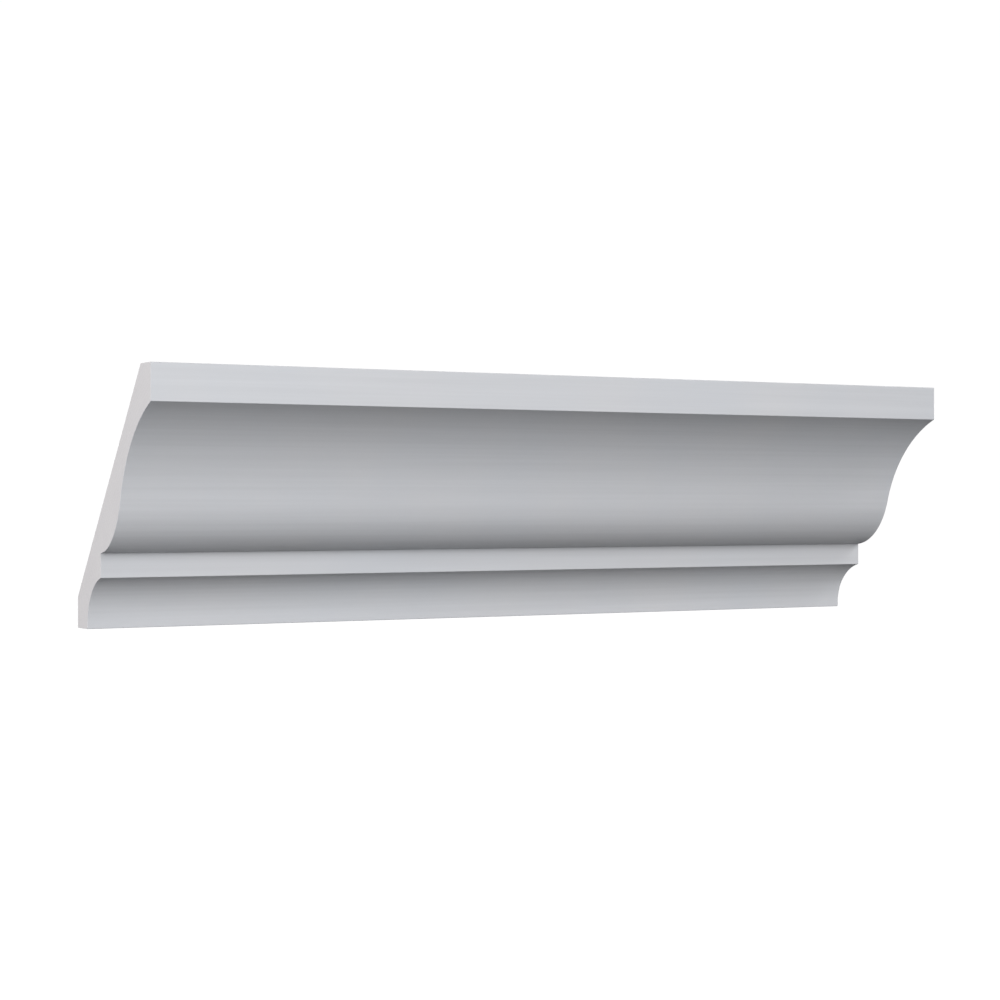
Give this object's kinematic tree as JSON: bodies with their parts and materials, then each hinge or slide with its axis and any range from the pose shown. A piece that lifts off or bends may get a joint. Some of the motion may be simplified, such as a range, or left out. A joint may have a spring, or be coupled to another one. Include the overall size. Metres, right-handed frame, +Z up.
{
  "type": "cornice moulding",
  "caption": "Straight length of crown cornice moulding, a flat fillet over a cyma curve, narrow strip and cove on a sloped back, cut square at its ends to fix across a wall and ceiling corner.",
  "frame": {"origin": "middle of the wall bed, the flat foot of the back that lies against the wall", "axes": "+X along the length, +Y into the wall, +Z up to the ceiling; the moulded face looks to -Y and down"},
  "size_m": [0.304, 0.0651, 0.0825],
  "materials": {
    "primed_foam": "satin off-white primer on hard moulded foam, bare where it is sawn across"
  },
  "bodies": {
    "root": {"cornice_moulding": "primed_foam"}
  },
  "joints": []
}
